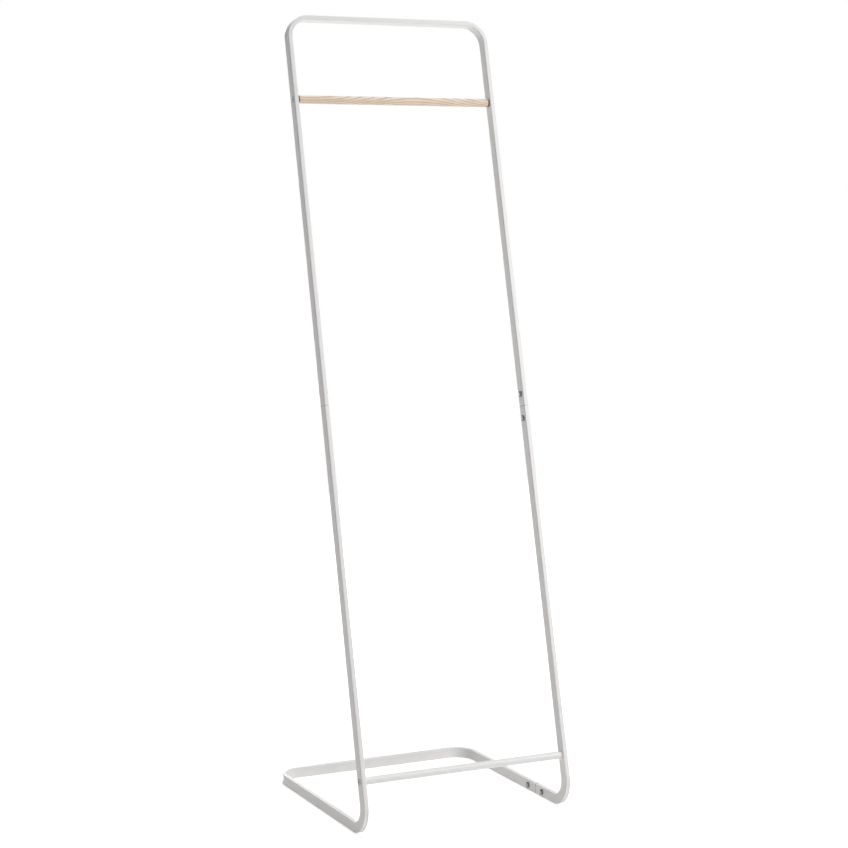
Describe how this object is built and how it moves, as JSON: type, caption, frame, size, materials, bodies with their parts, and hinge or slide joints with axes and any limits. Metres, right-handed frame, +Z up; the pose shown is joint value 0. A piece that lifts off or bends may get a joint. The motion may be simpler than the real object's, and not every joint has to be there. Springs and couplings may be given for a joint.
{
  "type": "coat stand",
  "caption": "Leaning coat stand of bent flat steel tube on a floor loop, with a round wood hanging rail near the top and a thin steel tie rail near the floor.",
  "frame": {"origin": "middle of the footprint, on the floor", "axes": "+Z is up, -Y is the front, where the posts rise from the floor, and +X is the right-hand post seen from the front"},
  "size_m": [0.4578, 0.46, 1.6],
  "materials": {
    "powder_coat": "satin white powder coat",
    "pale_wood": "clear matt lacquer on pale open-grained wood",
    "zinc_plate": "bright zinc plate",
    "plain_steel": "plain machined steel"
  },
  "bodies": {
    "root": {"upper_frame": "powder_coat", "left_leg": "powder_coat", "right_leg": "powder_coat", "base_frame": "powder_coat", "hanging_rail": "pale_wood", "lower_rail": "powder_coat", "left_post_connector": "plain_steel", "right_post_connector": "plain_steel", "left_base_connector": "plain_steel", "right_base_connector": "plain_steel", "left_post_screw_upper": "zinc_plate", "left_post_screw_lower": "zinc_plate", "right_post_screw_upper": "zinc_plate", "right_post_screw_lower": "zinc_plate", "left_base_screw_front": "zinc_plate", "left_base_screw_back": "zinc_plate", "right_base_screw_front": "zinc_plate", "right_base_screw_back": "zinc_plate", "left_hanging_rail_screw": "zinc_plate", "right_hanging_rail_screw": "zinc_plate", "left_lower_rail_screw": "zinc_plate", "right_lower_rail_screw": "zinc_plate", "left_rail_insert": "zinc_plate", "right_rail_insert": "zinc_plate", "left_rail_plug": "plain_steel", "right_rail_plug": "plain_steel"}
  },
  "joints": []
}
